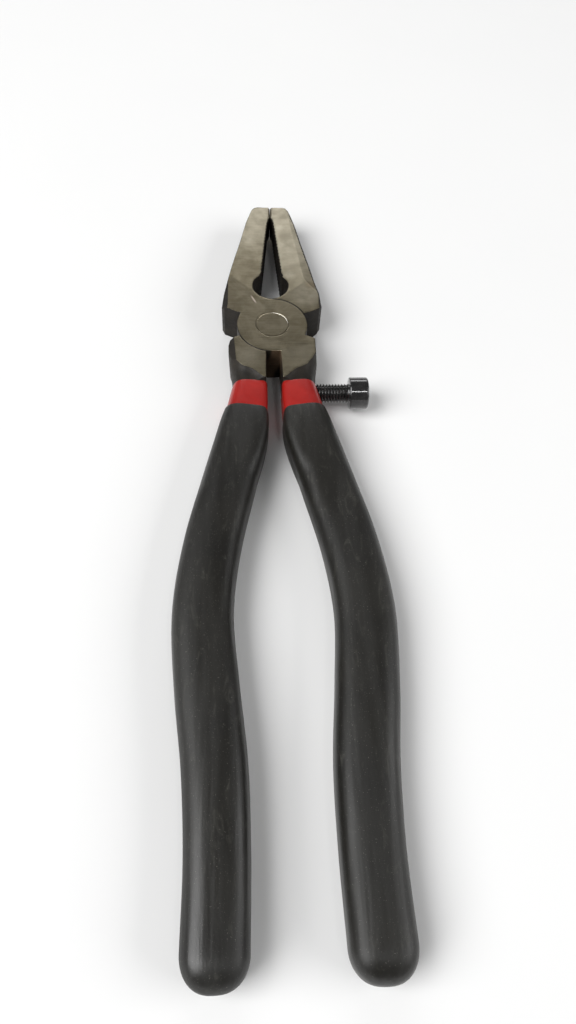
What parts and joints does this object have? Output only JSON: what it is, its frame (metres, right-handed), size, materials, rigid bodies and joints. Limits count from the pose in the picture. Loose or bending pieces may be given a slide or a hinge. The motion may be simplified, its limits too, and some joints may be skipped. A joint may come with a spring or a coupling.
{
  "type": "glass breaking pliers",
  "caption": "Glass breaking pliers with tip-closing serrated jaws, a flush riveted lap joint, dipped handles and an adjustable stop screw.",
  "frame": {"origin": "where the pivot's axis meets the flat underside of the head", "axes": "+Y along the tool towards the jaws' tips, +Z along the pivot's axis out of the top face, +X towards the stop screw's head"},
  "size_m": [0.0502, 0.2066, 0.011],
  "materials": {
    "forged_steel": "ground faces, black oxide on the forged sides",
    "rivet_steel": "ground flush with the head",
    "red_dip": "glossy dipped vinyl",
    "black_dip": "satin dipped vinyl",
    "black_oxide": "black oxide"
  },
  "bodies": {
    "front_half": {"front_lever": "forged_steel", "pivot_rivet": "rivet_steel", "right_under_dip": "red_dip", "right_grip": "black_dip"},
    "back_half": {"back_lever": "forged_steel", "left_under_dip": "red_dip", "left_grip": "black_dip"},
    "screw": {"stop_screw": "black_oxide"}
  },
  "joints": [
    {"name": "pivot", "type": "hinge", "parent": "front_half", "child": "back_half", "pos_m": [0, 0, 0.0055], "axis": [0, 0, -1], "range_deg": [0, 46]},
    {"name": "screw_travel", "type": "slide", "parent": "front_half", "child": "screw", "axis": [1, 0, 0], "range_m": [-0.005, 0.0045]}
  ]
}
